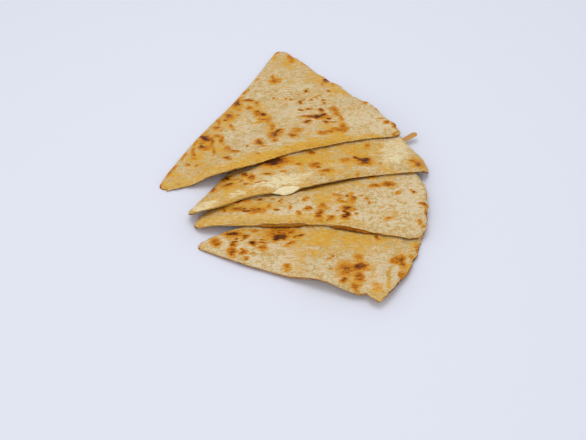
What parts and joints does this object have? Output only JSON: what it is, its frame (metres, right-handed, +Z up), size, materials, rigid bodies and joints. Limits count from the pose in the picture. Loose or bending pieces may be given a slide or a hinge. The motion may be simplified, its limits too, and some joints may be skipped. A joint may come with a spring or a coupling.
{
  "type": "cheese quesadilla",
  "caption": "Cheese quesadilla cut into wedges that lie in an overlapping fan: a toasted flour tortilla folded over melted cheese, which shows at the cuts.",
  "frame": {"origin": "middle of the fan's footprint, on the surface that it lies on", "axes": "+Z up; +Y along the fan, from the lowest wedge to the uppermost; the wedges' tips point to -X and their rims to +X"},
  "size_m": [0.1774, 0.2672, 0.0179],
  "materials": {
    "toasted_tortilla": "dry flour tortilla with golden and dark brown toast marks, stands in for bread",
    "melted_cheese": "soft glossy melted cheese"
  },
  "bodies": {
    "root": {"slice_1_folded_tortilla": "toasted_tortilla", "slice_1_cheese": "melted_cheese", "slice_2_top_tortilla": "toasted_tortilla", "slice_2_bottom_tortilla": "toasted_tortilla", "slice_2_cheese": "melted_cheese", "slice_3_top_tortilla": "toasted_tortilla", "slice_3_bottom_tortilla": "toasted_tortilla", "slice_3_cheese": "melted_cheese", "slice_4_folded_tortilla": "toasted_tortilla", "slice_4_cheese": "melted_cheese"}
  },
  "joints": []
}
